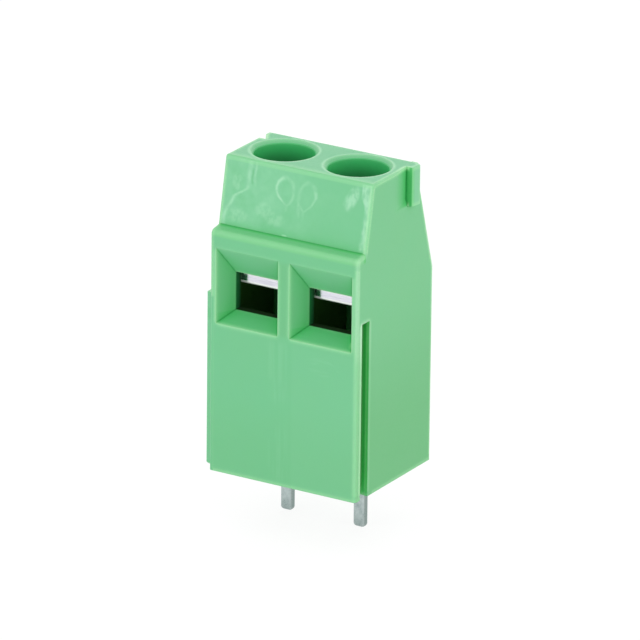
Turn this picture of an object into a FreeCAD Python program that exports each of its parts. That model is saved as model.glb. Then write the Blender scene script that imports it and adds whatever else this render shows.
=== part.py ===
import FreeCAD
import Part
import math
import os

from FreeCAD import Vector

# Tall two-pole screw terminal for a circuit board, with a rising clamp cage in each pole.
# Millimetres. X runs along the row of poles, the wire openings face -Y, and +Z is up.
# The origin is on the seating plane, midway between the two solder pins.
# The model is drawn with each clamp closed: its cage is raised against the terminal bar.

# Row of poles
POLES = 2
PITCH = 5.08
WIDTH = POLES * PITCH

# Housing profile, as depths behind the front face and heights above the board
PIN_DEPTH = 4.90
BODY_DEPTH = 8.64
BODY_HEIGHT = 19.37
LIP_EDGE_HEIGHT = 15.15
LIP_ROOT_HEIGHT = 15.30
LIP_ROOT_DEPTH = 0.85
TOP_FRONT_DEPTH = 1.64
TOP_BACK_DEPTH = 6.50
BACK_SLOPE_HEIGHT = 12.30

# Edge roundings of the moulding
LIP_ROUND = 0.32
TOP_ROUND = 0.16
FRONT_CORNER_ROUND = 0.18
SIDE_EDGE_ROUND = 0.14
SMALL_ROUND = 0.12

# Wire opening: a four-sided funnel that narrows to a straight throat
FUNNEL_WIDTH = 4.288
FUNNEL_BOTTOM = 9.35
FUNNEL_TOP = 14.08
FUNNEL_DEPTH = 1.13
THROAT_WIDTH = 2.92
THROAT_BOTTOM = 10.00
THROAT_TOP = 12.39

# Contact strip: a tongue through the cage, a leg down the back, a foot and a solder pin
STRIP = 0.50
STRIP_BEND = 0.25
TONGUE_WIDTH = 2.60
TONGUE_FRONT_DEPTH = 1.95
TONGUE_HEIGHT = 12.20
LEG_WIDTH = 3.20
FOOT_WIDTH = 1.80
FOOT_HEIGHT = 0.40
PIN_WIDTH = 0.76
PIN_LENGTH = 3.60
PIN_EDGE_ROUND = 0.12
PIN_TIP_ROUND = 0.24
SHOULDER = 0.60

# Clamp cage: one strip folded into a sleeve, with its ends lapped over each other on top
CAGE_SHEET = 0.65
CAGE_WIDTH = 4.10
CAGE_DEPTH = 4.62
CAGE_OUTER_BEND = 0.50
CAGE_INNER_BEND = 0.10
CAGE_EDGE_ROUND = 0.12
LAP_GAP = 0.02
OPEN_TRAVEL = 2.20
GRIP_RIBS = 3
GRIP_PITCH = 0.90
GRIP_NOTCH = 0.12

# Screw
SCREW_DEPTH = 4.11
THREAD_RADIUS = 1.20
TAPPED_RADIUS = 1.25
HEAD_RADIUS = 1.98
HEAD_HEIGHT = 1.20
HEAD_CHAMFER = 0.15
SLOT_WIDTH = 0.60
SLOT_DEPTH = 0.75
TIP_CHAMFER = 0.35
HEAD_TO_CAGE = 0.13

# Driver bore above the screw
BORE_RADIUS = 1.83
RIM_CHAMFER = 0.22

# Clearances
RUN_GAP = 0.05
CAGE_TO_WALL = 0.06
CAGE_FRONT_GAP = 0.10
CAGE_BACK_GAP = 0.08
HEAD_GAP = 0.10
LEG_GAP = 0.20

# Places nearer than this are the same place
SAME_PLACE = 1e-4

# Interlock on the sides: tongue on the left, groove on the right, for a longer row
TONGUE_RIB_FRONT = 0.62
TONGUE_RIB_ROOT = 0.68
TONGUE_RIB_OUT = 0.55
RIB_FLARE = 0.06
RIB_ROUND = 0.06
RIB_TOP = 11.00
RIB_FOOT_CHAMFER = 0.22
GROOVE_GAP_Y = 0.08
GROOVE_GAP_X = 0.03
GROOVE_GAP_TOP = 0.03
GROOVE_MOUTH = 0.03

# Hook on the right rear corner and notch on the left one
HOOK_HEIGHT = 2.42
HOOK_FRONT_DEPTH = 5.50
HOOK_FRONT_OUT = 0.32
HOOK_FLANK = 0.72
HOOK_OUT = 0.46
HOOK_BACK_OUT = 0.10
HOOK_ROOT_IN = 0.30
HOOK_ROUND = 0.16
HOOK_FRONT_ROUND = 0.06
HOOK_TOP_ROUND = 0.05
RAMP_LENGTH = 1.27
RAMP_IN = 0.10
RAMP_FADE = 0.40
NOTCH_AHEAD = 0.26
NOTCH_IN = 0.53
NOTCH_BACK_IN = 0.07
NOTCH_SLANT = 0.80

# Places worked out from the sizes above
HALF_WIDTH = WIDTH / 2
TONGUE_TOP = TONGUE_HEIGHT + STRIP
CAGE_FLOOR_TOP = TONGUE_HEIGHT - RUN_GAP
CAGE_BOTTOM = CAGE_FLOOR_TOP - CAGE_SHEET
CAGE_ROOF = TONGUE_TOP + RUN_GAP + OPEN_TRAVEL
CAGE_TOP = CAGE_ROOF + 2 * CAGE_SHEET + LAP_GAP
CAGE_FRONT_DEPTH = SCREW_DEPTH - CAGE_DEPTH / 2
CAGE_BACK_DEPTH = SCREW_DEPTH + CAGE_DEPTH / 2
HEAD_BOTTOM = CAGE_TOP + HEAD_TO_CAGE
HEAD_TOP = HEAD_BOTTOM + HEAD_HEIGHT
WELL_HALF = CAGE_WIDTH / 2 + CAGE_TO_WALL
WELL_FRONT_DEPTH = CAGE_FRONT_DEPTH - CAGE_FRONT_GAP
WELL_BACK_DEPTH = CAGE_BACK_DEPTH + CAGE_BACK_GAP
WELL_TOP = CAGE_TOP + RUN_GAP
LEG_FRONT_DEPTH = CAGE_BACK_DEPTH + LEG_GAP
LEG_BACK_DEPTH = LEG_FRONT_DEPTH + STRIP
POCKET_RADIUS = HEAD_RADIUS + RUN_GAP
POCKET_TOP = HEAD_TOP + HEAD_GAP
OVERRUN = 1.0


def back(depth):
    """Y of a place that lies this far behind the front face."""
    return depth - PIN_DEPTH


def pole_x(pole):
    """X of the middle of a pole, counted from the left."""
    return (pole - (POLES - 1) / 2) * PITCH


def block(x0, x1, depth0, depth1, z0, z1):
    corner = Vector(x0, back(depth0), z0)
    return Part.makeBox(x1 - x0, depth1 - depth0, z1 - z0, corner)


def rod(x, depth, radius, z0, z1):
    return Part.makeCylinder(radius, z1 - z0, Vector(x, back(depth), z0))


def outline(corners, place):
    """Closed face through corners (u, v, radius), each rounded to its radius.

    place turns a flat (u, v) into a point in space.
    """
    starts = []
    ends = []
    middles = []
    count = len(corners)
    for i in range(count):
        u, v, radius = corners[i]
        here = Vector(u, v, 0)
        before = Vector(*corners[i - 1][:2], 0) - here
        after = Vector(*corners[(i + 1) % count][:2], 0) - here
        before.normalize()
        after.normalize()
        half_angle = before.getAngle(after) / 2
        if radius == 0:
            starts.append(here)
            ends.append(here)
            middles.append(None)
            continue
        reach = radius / math.tan(half_angle)
        inward = before + after
        inward.normalize()
        centre = here + inward * (radius / math.sin(half_angle))
        starts.append(here + before * reach)
        ends.append(here + after * reach)
        middles.append(centre - inward * radius)
    edges = []
    for i in range(count):
        if middles[i] is not None:
            points = [place(p.x, p.y) for p in (starts[i], middles[i], ends[i])]
            edges.append(Part.Arc(*points).toShape())
        following = starts[(i + 1) % count]
        if ends[i].distanceToPoint(following) > SAME_PLACE:
            run = Part.LineSegment(place(ends[i].x, ends[i].y), place(following.x, following.y))
            edges.append(run.toShape())
    return Part.Face(Part.Wire(edges))


def side_prism(corners, x0, x1):
    """Corners are (depth, height, radius), drawn out along X."""
    face = outline(corners, lambda depth, z: Vector(x0, back(depth), z))
    return face.extrude(Vector(x1 - x0, 0, 0))


def front_prism(corners, depth0, depth1):
    """Corners are (x, height, radius), drawn out towards the back."""
    face = outline(corners, lambda x, z: Vector(x, back(depth0), z))
    return face.extrude(Vector(0, depth1 - depth0, 0))


def plan_prism(corners, z0, z1):
    """Corners are (x, depth, radius), drawn out upwards."""
    face = outline(corners, lambda x, depth: Vector(x, back(depth), z0))
    return face.extrude(Vector(0, 0, z1 - z0))


def upright_edges(solid, x, depth):
    """Vertical edges of a solid at one place in the plan."""
    found = []
    for edge in solid.Edges:
        box = edge.BoundBox
        off_x = max(abs(box.XMin - x), abs(box.XMax - x))
        off_y = max(abs(box.YMin - back(depth)), abs(box.YMax - back(depth)))
        if max(off_x, off_y) < SAME_PLACE:
            found.append(edge)
    return found


def top_edges(solid, x_low, x_high, z):
    """Edges of a solid at height z that lie between two places in X."""
    found = []
    for edge in solid.Edges:
        box = edge.BoundBox
        level = max(abs(box.ZMin - z), abs(box.ZMax - z)) < SAME_PLACE
        if level and box.XMin > x_low - SAME_PLACE and box.XMax < x_high + SAME_PLACE:
            found.append(edge)
    return found


def both_sides(x, corners):
    """Corners given for the right half of a symmetric outline about x, completed on the left."""
    right = [(x + u, v, radius) for u, v, radius in corners]
    left = [(x - u, v, radius) for u, v, radius in reversed(corners)]
    return right + left


def body_block():
    """Outer block: side profile drawn across the width, with its side edges rounded.

    The edges at the back run on over the top without a corner, so one rounding takes them all.
    """
    profile = [
        (0, 0, 0),
        (0, LIP_EDGE_HEIGHT, LIP_ROUND),
        (LIP_ROOT_DEPTH, LIP_ROOT_HEIGHT, 0),
        (TOP_FRONT_DEPTH, BODY_HEIGHT, TOP_ROUND),
        (TOP_BACK_DEPTH, BODY_HEIGHT, TOP_ROUND),
        (BODY_DEPTH, BACK_SLOPE_HEIGHT, LIP_ROUND),
        (BODY_DEPTH, 0, 0),
    ]
    solid = side_prism(profile, -HALF_WIDTH, HALF_WIDTH)
    front = upright_edges(solid, -HALF_WIDTH, 0) + upright_edges(solid, HALF_WIDTH, 0)
    solid = solid.makeFillet(FRONT_CORNER_ROUND, front)
    rear = upright_edges(solid, -HALF_WIDTH, BODY_DEPTH)
    rear = rear + upright_edges(solid, HALF_WIDTH, BODY_DEPTH)
    return solid.makeFillet(SIDE_EDGE_ROUND, rear)


def side_rib(grow_y, grow_out, top):
    """Dovetail rib at the right of x = 0, as solid or, grown by its gaps, as a groove."""
    front = TONGUE_RIB_FRONT - grow_y
    rear = TONGUE_RIB_FRONT + TONGUE_RIB_ROOT + grow_y
    out = TONGUE_RIB_OUT + grow_out
    section = [
        (0, front, 0),
        (out, front - RIB_FLARE, RIB_ROUND),
        (out, rear + RIB_FLARE, RIB_ROUND),
        (0, rear, 0),
    ]
    return plan_prism(section, 0, top)


def interlock_rib():
    """Rib on the left side, chamfered at its foot so that it starts into a groove."""
    rib = side_rib(0, 0, RIB_TOP)
    rib = rib.mirror(Vector(0, 0, 0), Vector(1, 0, 0))
    rib.translate(Vector(-HALF_WIDTH, 0, 0))
    chamfer = front_prism(
        [
            (-HALF_WIDTH - TONGUE_RIB_OUT - OVERRUN, -OVERRUN, 0),
            (-HALF_WIDTH - TONGUE_RIB_OUT - OVERRUN, RIB_FOOT_CHAMFER + 2 * OVERRUN, 0),
            (-HALF_WIDTH - TONGUE_RIB_OUT, RIB_FOOT_CHAMFER, 0),
            (-HALF_WIDTH, 0, 0),
            (-HALF_WIDTH, -OVERRUN, 0),
        ],
        -OVERRUN,
        BODY_DEPTH,
    )
    return rib.cut(chamfer)


def interlock_groove():
    groove = side_rib(GROOVE_GAP_Y, GROOVE_GAP_X, RIB_TOP + GROOVE_GAP_TOP + OVERRUN)
    groove = groove.mirror(Vector(0, 0, 0), Vector(1, 0, 0))
    groove.translate(Vector(HALF_WIDTH, 0, -OVERRUN))
    mouth = block(
        HALF_WIDTH - GROOVE_MOUTH,
        HALF_WIDTH + OVERRUN,
        TONGUE_RIB_FRONT - GROOVE_GAP_Y,
        TONGUE_RIB_FRONT + TONGUE_RIB_ROOT + GROOVE_GAP_Y,
        -OVERRUN,
        RIB_TOP + GROOVE_GAP_TOP,
    )
    return groove.fuse(mouth)


def corner_hook():
    """Hook on the right rear corner, seen in plan, for the top of the housing only."""
    root = HALF_WIDTH - HOOK_ROOT_IN
    section = [
        (root, HOOK_FRONT_DEPTH, 0),
        (HALF_WIDTH + HOOK_FRONT_OUT, HOOK_FRONT_DEPTH, HOOK_FRONT_ROUND),
        (HALF_WIDTH + HOOK_OUT, HOOK_FRONT_DEPTH + HOOK_FLANK, HOOK_ROUND),
        (HALF_WIDTH + HOOK_BACK_OUT, TOP_BACK_DEPTH, 0),
        (root, TOP_BACK_DEPTH, 0),
    ]
    hook = plan_prism(section, BODY_HEIGHT - HOOK_HEIGHT, BODY_HEIGHT)
    outer = top_edges(hook, HALF_WIDTH, HALF_WIDTH + HOOK_OUT, BODY_HEIGHT)
    return hook.makeFillet(HOOK_TOP_ROUND, outer)


def corner_ramp():
    """Shallow ramp cut into the right side in front of the hook, which runs out at its foot."""
    foot = BODY_HEIGHT - HOOK_HEIGHT
    top = BODY_HEIGHT + OVERRUN
    section = [
        (HALF_WIDTH, HOOK_FRONT_DEPTH - RAMP_LENGTH, 0),
        (HALF_WIDTH - RAMP_IN, HOOK_FRONT_DEPTH, 0),
        (HALF_WIDTH + OVERRUN, HOOK_FRONT_DEPTH, 0),
        (HALF_WIDTH + OVERRUN, HOOK_FRONT_DEPTH - RAMP_LENGTH, 0),
    ]
    fade = [
        (HALF_WIDTH + OVERRUN, foot, 0),
        (HALF_WIDTH, foot, 0),
        (HALF_WIDTH - RAMP_IN, foot + RAMP_FADE, 0),
        (HALF_WIDTH - RAMP_IN, top, 0),
        (HALF_WIDTH + OVERRUN, top, 0),
    ]
    return plan_prism(section, foot, top).common(front_prism(fade, 0, BODY_DEPTH))


def corner_notch():
    """Notch at the left rear corner, which takes the hook of a neighbour."""
    side = -HALF_WIDTH
    front = HOOK_FRONT_DEPTH - NOTCH_AHEAD
    section = [
        (side - OVERRUN, front, 0),
        (side + NOTCH_IN, front, 0),
        (side + NOTCH_BACK_IN, front + NOTCH_SLANT, 0),
        (side + NOTCH_BACK_IN, BODY_DEPTH + OVERRUN, 0),
        (side - OVERRUN, BODY_DEPTH + OVERRUN, 0),
    ]
    return plan_prism(section, BODY_HEIGHT - HOOK_HEIGHT, BODY_HEIGHT + OVERRUN)


def wire_opening(x):
    """Funnel and throat of one pole."""

    def frame(depth):
        share = depth / FUNNEL_DEPTH
        half = (FUNNEL_WIDTH + share * (THROAT_WIDTH - FUNNEL_WIDTH)) / 2
        bottom = FUNNEL_BOTTOM + share * (THROAT_BOTTOM - FUNNEL_BOTTOM)
        top = FUNNEL_TOP + share * (THROAT_TOP - FUNNEL_TOP)
        corners = [(x - half, bottom), (x + half, bottom), (x + half, top), (x - half, top)]
        points = [Vector(u, back(depth), v) for u, v in corners]
        return Part.makePolygon(points + points[:1])

    funnel = Part.makeLoft([frame(-SMALL_ROUND), frame(FUNNEL_DEPTH)], True, True)
    half_throat = THROAT_WIDTH / 2
    throat = block(
        x - half_throat,
        x + half_throat,
        FUNNEL_DEPTH - SMALL_ROUND,
        WELL_FRONT_DEPTH + SMALL_ROUND,
        THROAT_BOTTOM,
        THROAT_TOP,
    )
    return funnel.fuse(throat)


def clamp_well(x):
    """Room for the cage and its travel, open at the bottom, and the channel of the leg."""
    well = block(x - WELL_HALF, x + WELL_HALF, WELL_FRONT_DEPTH, WELL_BACK_DEPTH, -OVERRUN, WELL_TOP)
    channel = block(
        x - LEG_WIDTH / 2,
        x + LEG_WIDTH / 2,
        WELL_BACK_DEPTH - OVERRUN,
        LEG_BACK_DEPTH,
        -OVERRUN,
        TONGUE_TOP + LEG_GAP,
    )
    return well.fuse(channel)


def screw_shaft(x):
    """Head pocket, driver bore and its chamfered rim."""
    pocket = rod(x, SCREW_DEPTH, POCKET_RADIUS, WELL_TOP - OVERRUN, POCKET_TOP)
    bore = rod(x, SCREW_DEPTH, BORE_RADIUS, WELL_TOP - OVERRUN, BODY_HEIGHT + OVERRUN)
    rim_base = Vector(x, back(SCREW_DEPTH), BODY_HEIGHT - RIM_CHAMFER)
    rim = Part.makeCone(BORE_RADIUS, BORE_RADIUS + 2 * RIM_CHAMFER, 2 * RIM_CHAMFER, rim_base)
    return pocket.fuse([bore, rim])


def housing():
    solid = body_block()
    solid = solid.fuse([interlock_rib(), corner_hook()])
    cuts = [interlock_groove(), corner_ramp(), corner_notch()]
    for pole in range(POLES):
        x = pole_x(pole)
        cuts.extend([wire_opening(x), clamp_well(x), screw_shaft(x)])
    return solid.cut(cuts).removeSplitter()


def terminal_bar(x):
    """Strip folded in side view, then trimmed in front view to the width of each part."""
    leg_bend = STRIP_BEND + STRIP
    foot_top = FOOT_HEIGHT + STRIP
    pin_front = PIN_DEPTH - STRIP / 2
    pin_back = PIN_DEPTH + STRIP / 2
    folded = side_prism(
        [
            (TONGUE_FRONT_DEPTH, TONGUE_HEIGHT, SMALL_ROUND),
            (TONGUE_FRONT_DEPTH, TONGUE_TOP, SMALL_ROUND),
            (LEG_BACK_DEPTH, TONGUE_TOP, leg_bend),
            (LEG_BACK_DEPTH, FOOT_HEIGHT, leg_bend),
            (pin_back, FOOT_HEIGHT, STRIP_BEND),
            (pin_back, -PIN_LENGTH, PIN_TIP_ROUND),
            (pin_front, -PIN_LENGTH, PIN_TIP_ROUND),
            (pin_front, foot_top, leg_bend),
            (LEG_FRONT_DEPTH, foot_top, STRIP_BEND),
            (LEG_FRONT_DEPTH, TONGUE_HEIGHT, STRIP_BEND),
        ],
        x - LEG_WIDTH / 2,
        x + LEG_WIDTH / 2,
    )
    shoulder = TONGUE_HEIGHT - leg_bend - SHOULDER
    front_blank = [
        (PIN_WIDTH / 2, -PIN_LENGTH, PIN_TIP_ROUND),
        (PIN_WIDTH / 2, 0, 0),
        (FOOT_WIDTH / 2, 0, 0),
        (FOOT_WIDTH / 2, foot_top + SHOULDER, 0),
        (LEG_WIDTH / 2, foot_top + 2 * SHOULDER, 0),
        (LEG_WIDTH / 2, shoulder, 0),
        (TONGUE_WIDTH / 2, shoulder + SHOULDER, 0),
        (TONGUE_WIDTH / 2, TONGUE_TOP + OVERRUN, 0),
    ]
    plan_blank = [
        (PIN_WIDTH / 2, 0, 0),
        (PIN_WIDTH / 2, pin_back + STRIP_BEND, 0),
        (FOOT_WIDTH / 2, LEG_FRONT_DEPTH, 0),
        (FOOT_WIDTH / 2, BODY_DEPTH, 0),
    ]
    above = block(
        x - LEG_WIDTH / 2, x + LEG_WIDTH / 2, 0, BODY_DEPTH, foot_top + STRIP_BEND, TONGUE_TOP + OVERRUN
    )
    below = plan_prism(both_sides(x, plan_blank), -PIN_LENGTH, foot_top + STRIP_BEND)
    trimmed = folded.common(front_prism(both_sides(x, front_blank), 0, BODY_DEPTH))
    trimmed = trimmed.common(above.fuse(below))
    pin_edges = []
    for edge in trimmed.Edges:
        box = edge.BoundBox
        upright = max(box.XLength, box.YLength) < SAME_PLACE
        if upright and box.ZMin < 0 and box.ZLength > PIN_LENGTH / 2:
            pin_edges.append(edge)
    return trimmed.makeFillet(PIN_EDGE_ROUND, pin_edges)


def clamp_cage(x):
    """Sleeve folded from one strip: floor, two sides, and two lapped layers on top."""
    half = CAGE_WIDTH / 2
    inner = half - CAGE_SHEET
    lower_top = CAGE_ROOF + CAGE_SHEET
    outer_low = lower_top + LAP_GAP
    fold = front_prism(
        [
            (x - half, CAGE_BOTTOM, CAGE_OUTER_BEND),
            (x + half, CAGE_BOTTOM, CAGE_OUTER_BEND),
            (x + half, lower_top, CAGE_OUTER_BEND),
            (x - inner + LAP_GAP, lower_top, 0),
            (x - inner + LAP_GAP, CAGE_ROOF, 0),
            (x + inner, CAGE_ROOF, CAGE_INNER_BEND),
            (x + inner, CAGE_FLOOR_TOP, CAGE_INNER_BEND),
            (x - inner, CAGE_FLOOR_TOP, CAGE_INNER_BEND),
            (x - inner, outer_low, 0),
            (x + half - CAGE_SHEET / 2, outer_low, 0),
            (x + half - CAGE_SHEET / 2, CAGE_TOP, 0),
            (x - half, CAGE_TOP, CAGE_OUTER_BEND),
        ],
        CAGE_FRONT_DEPTH,
        CAGE_BACK_DEPTH,
    )
    rims = []
    for edge in fold.Edges:
        box = edge.BoundBox
        at_front = abs(box.YMax - back(CAGE_FRONT_DEPTH)) < SAME_PLACE
        low = abs(box.ZMax - CAGE_BOTTOM) < SAME_PLACE and box.XLength > CAGE_SHEET
        if at_front and low:
            rims.append(edge)
    fold = fold.makeFillet(CAGE_EDGE_ROUND, rims)
    cuts = [rod(x, SCREW_DEPTH, TAPPED_RADIUS, CAGE_ROOF - RUN_GAP, CAGE_TOP + RUN_GAP)]
    for rib in range(GRIP_RIBS):
        middle = SCREW_DEPTH + (rib - (GRIP_RIBS - 1) / 2) * GRIP_PITCH
        notch = [
            (middle - GRIP_NOTCH, CAGE_FLOOR_TOP + GRIP_NOTCH / 2, 0),
            (middle, CAGE_FLOOR_TOP - GRIP_NOTCH, 0),
            (middle + GRIP_NOTCH, CAGE_FLOOR_TOP + GRIP_NOTCH / 2, 0),
        ]
        reach = inner - CAGE_INNER_BEND
        cuts.append(side_prism(notch, x - reach, x + reach))
    return fold.cut(cuts)


def screw(x):
    """Slotted cheese-head screw; its plain shank stands for the M2.5 thread."""
    tip = TONGUE_TOP + RUN_GAP
    middle = Vector(x, back(SCREW_DEPTH), 0)
    half_section = outline(
        [
            (0, tip, 0),
            (THREAD_RADIUS - TIP_CHAMFER, tip, 0),
            (THREAD_RADIUS, tip + TIP_CHAMFER, 0),
            (THREAD_RADIUS, HEAD_BOTTOM, 0),
            (HEAD_RADIUS, HEAD_BOTTOM, 0),
            (HEAD_RADIUS, HEAD_TOP - HEAD_CHAMFER, 0),
            (HEAD_RADIUS - HEAD_CHAMFER, HEAD_TOP, 0),
            (0, HEAD_TOP, 0),
        ],
        lambda u, z: Vector(x + u, back(SCREW_DEPTH), z),
    )
    turned = half_section.revolve(middle, Vector(0, 0, 1), 360)
    slot = block(
        x - HEAD_RADIUS - OVERRUN,
        x + HEAD_RADIUS + OVERRUN,
        SCREW_DEPTH - SLOT_WIDTH / 2,
        SCREW_DEPTH + SLOT_WIDTH / 2,
        HEAD_TOP - SLOT_DEPTH,
        HEAD_TOP + OVERRUN,
    )
    return turned.cut(slot)


def write(shape, name):
    """One STEP file for each piece; a boolean result is unwrapped to its one solid."""
    if len(shape.Solids) != 1 or not shape.isValid():
        raise ValueError(f"{name}: {len(shape.Solids)} solids, valid {shape.isValid()}")
    solid = shape.Solids[0]
    solid.exportStep(os.path.join("parts", name + ".step"))
    print(f"{name}: {solid.Volume:.3f} mm3, {len(solid.Faces)} faces")


os.makedirs("parts", exist_ok=True)
write(housing(), "housing")
for pole in range(POLES):
    x = pole_x(pole)
    number = pole + 1
    write(terminal_bar(x), f"terminal_bar_{number}")
    write(clamp_cage(x), f"clamp_cage_{number}")
    write(screw(x), f"screw_{number}")
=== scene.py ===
# Two-pole screw terminal for a circuit board: finishes, screw threads, floor, lights and camera.
# Metres, in the part's own frame: X along the row of poles, wire openings towards -Y, +Z up,
# and the origin on the seating plane, midway between the two solder pins.
import math

import bmesh
import bpy
from mathutils import Matrix, Vector


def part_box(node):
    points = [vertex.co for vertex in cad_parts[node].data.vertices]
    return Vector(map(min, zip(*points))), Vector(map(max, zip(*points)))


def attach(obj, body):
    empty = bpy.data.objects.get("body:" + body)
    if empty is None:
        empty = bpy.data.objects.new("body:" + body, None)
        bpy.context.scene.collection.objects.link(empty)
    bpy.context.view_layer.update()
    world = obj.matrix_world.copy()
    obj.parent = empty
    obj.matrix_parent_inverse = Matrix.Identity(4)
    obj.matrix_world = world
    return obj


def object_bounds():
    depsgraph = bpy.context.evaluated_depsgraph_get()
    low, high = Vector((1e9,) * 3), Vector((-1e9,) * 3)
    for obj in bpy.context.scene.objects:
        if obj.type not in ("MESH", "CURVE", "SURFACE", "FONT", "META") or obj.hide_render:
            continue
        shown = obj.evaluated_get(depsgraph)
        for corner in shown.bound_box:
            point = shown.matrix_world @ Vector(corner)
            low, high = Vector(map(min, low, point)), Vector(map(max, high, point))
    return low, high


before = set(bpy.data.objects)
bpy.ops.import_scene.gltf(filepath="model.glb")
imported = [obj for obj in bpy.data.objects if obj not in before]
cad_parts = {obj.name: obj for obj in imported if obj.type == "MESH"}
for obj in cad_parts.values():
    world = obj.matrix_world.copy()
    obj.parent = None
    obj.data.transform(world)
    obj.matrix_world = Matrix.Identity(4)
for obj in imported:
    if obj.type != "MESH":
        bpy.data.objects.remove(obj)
cad_low, cad_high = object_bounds()

MM = 0.001

# Places on the housing and the cages, in millimetres, as they are in the part
POLE_OFFSET = 2.54
SCREW_Y = -0.79
SIDE_X = 5.08
FRONT_Y = -4.90
TOP = 19.37
TOP_FRONT_Y = -3.26
BORE_RADIUS = 1.83
RIM_RADIUS = 2.05
FUNNEL_BOTTOM = 9.35
THROAT_Y = -3.77
THROAT_HALF = 1.46
THROAT_BOTTOM = 10.00
THROAT_TOP = 12.39
WELL_HALF = 2.11
WELL_FRONT_Y = -3.20
WELL_BACK_Y = 1.60
WELL_BOTTOM = 1.00
WELL_TOP = 12.90
SLOPE_FOOT_Y = -4.05
SLOPE_FOOT = 15.30
SLOPE_LEAN = 0.194
CAGE_BOTTOM = 11.50
GROOVE_FLOOR_X = 4.50
GROOVE_FRONT_Y = -4.36
GROOVE_BACK_Y = -3.52
GROOVE_TOP = 11.03
RIB_TOP = 11.00
HOOK_FOOT = 16.95
HOOK_FRONT_Y = 0.60
RAMP_FRONT_Y = -0.67

# Stretches of the housing with a tone of their own, in millimetres: a darker post, and painted light and
# shade on the ledge, bores, ramp and hook
POST_HALF = 0.36
POST_BOTTOM = 9.4
POST_TOP = 14.0
LEDGE_BOTTOM = 14.7
BORE_TONE_BOTTOM = 16.0
RAMP_SHADE_X = 4.7
HOOK_LINE_X = 5.42

# Marks of the moulding on the slope, in millimetres, drawn pale as painted sheen. A drop is round
# above its middle (x, z) and narrows below it to a point that leans to one side.
LEFT_DROP = {"middle": (-0.80, 17.95), "half_width": 0.57, "rise": 0.76, "fall": 0.88, "lean": 0.22}
RIGHT_DROP = {"middle": (0.76, 17.90), "half_width": 0.58, "rise": 0.78, "fall": 1.02, "lean": -0.22}
DROP_NARROWING = 1.15
LOOP_LINE_HALF = 0.17
LOOP_THREAD_X = 0.22
WAVER = 0.36
FLOW_LINE_X = -3.26
FLOW_BENDS = [
    {"bottom": 17.00, "top": 17.75, "drift": -0.90},
    {"bottom": 15.95, "top": 17.05, "drift": -0.52},
]
FLOW_LINES = {
    "wide": {"shift": -0.05, "half_width": 0.24},
    "fine": {"shift": 0.36, "half_width": 0.14},
}
DARK_THREAD_X = -3.08
PALE_OVAL = {"middle": (3.72, 18.30), "half_width": 0.52, "half_height": 0.92, "lean": 0.36}
PATCHES = [
    {"middle": (-2.15, 16.60), "half_width": 0.65, "half_height": 0.55},
    {"middle": (-1.30, 16.20), "half_width": 0.85, "half_height": 0.50},
    {"middle": (-3.90, 15.95), "half_width": 0.80, "half_height": 0.50},
    {"middle": (-4.05, 17.90), "half_width": 0.45, "half_height": 0.60},
]
FOOT_MARK = {"middle": (-0.53, 15.38), "half_width": 0.24, "half_height": 0.08}
SHEEN_INNER_X = 4.36
SHEEN_WAIST = 0.26

# Ripples on the lower front, below the right wire opening
RIPPLES = {"middle": (2.9, 8.1), "half_width": 1.7, "half_height": 1.1}

# Greens of the housing: the plastic's own cool and warm greens, and greens for painted light and shade,
# paler for painted highlights, sheen and light, darker for painted shade
GREEN = {
    "cool": (0.178, 0.568, 0.292, 1.0),
    "warm": (0.192, 0.560, 0.262, 1.0),
    "low": (0.158, 0.505, 0.215, 1.0),
    "top": (0.090, 0.480, 0.205, 1.0),
    "ledge": (0.220, 0.640, 0.270, 1.0),
    "haze_and_sheen": (0.300, 0.680, 0.425, 1.0),
    "pale_sheen": (0.430, 0.790, 0.540, 1.0),
    "highlight": (0.560, 0.860, 0.600, 1.0),
    "pale_edge": (0.400, 0.800, 0.430, 1.0),
    "pale_rim": (0.290, 0.705, 0.345, 1.0),
    "deep": (0.028, 0.510, 0.090, 1.0),
    "crease": (0.015, 0.330, 0.060, 1.0),
    "bore_wall": (0.040, 0.600, 0.170, 1.0),
    "bore_depth": (0.006, 0.120, 0.034, 1.0),
    "groove_floor": (0.004, 0.520, 0.050, 1.0),
    "groove_wall": (0.040, 0.800, 0.095, 1.0),
    "well": (0.022, 0.100, 0.008, 1.0),
    "throat_mouth": (0.015, 0.220, 0.060, 1.0),
    "throat_end": (0.006, 0.070, 0.018, 1.0),
    "throat_floor": (0.007, 0.032, 0.005, 1.0),
}

# Thread of the screws, M2.5 by 0.45, in millimetres; its ridge starts just inside the shank
THREAD_PITCH = 0.45
THREAD_CREST = 1.24
THREAD_ROOT = 1.19
THREAD_SINK = 0.01
THREAD_CREST_FLAT = 0.06
THREAD_ROOT_WIDTH = 0.34
THREAD_TIP_GAP = 0.38
THREAD_HEAD_GAP = 0.42
HEAD_HEIGHT = 1.20
STEPS_A_TURN = 48
RUN_OUT_STEPS = 16

# Camera, fitted to the photograph: turned to the right, a little above, through a long lens
CAMERA_YAW = 31.158
CAMERA_RISE = 20.170
CAMERA_ROLL = 0.668
CAMERA_DISTANCE = 479.2
CAMERA_AIM = Vector((0.0, 0.1, 10.0))
CAMERA_RIGHT = -0.440
CAMERA_UP = -0.987
SENSOR_WIDTH = 36.0
CAMERA_LENS = 455.19

# Light: a level of 1 shows a facing surface in the colour that it is written in
SKY_LEVEL = 0.74
LAMP_DISTANCE = 0.5
LAMP_SIZE = 0.35
LAMPS = {
    "front_lamp": {"azimuth": -25, "elevation": 20, "level": 0.27},
    "right_lamp": {"azimuth": 80, "elevation": 15, "level": 0.30},
    "back_lamp": {"azimuth": 200, "elevation": 20, "level": 0.20},
}
WHITE = (1.0, 1.0, 1.0, 1.0)
FLOOR_HALF_WIDTH = 0.9
FLOOR_COLOUR = (0.88, 0.88, 0.88, 1.0)
FLOOR_GLOW = 1.08
FLOOR_GLOW_SHARE = 0.82


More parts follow.
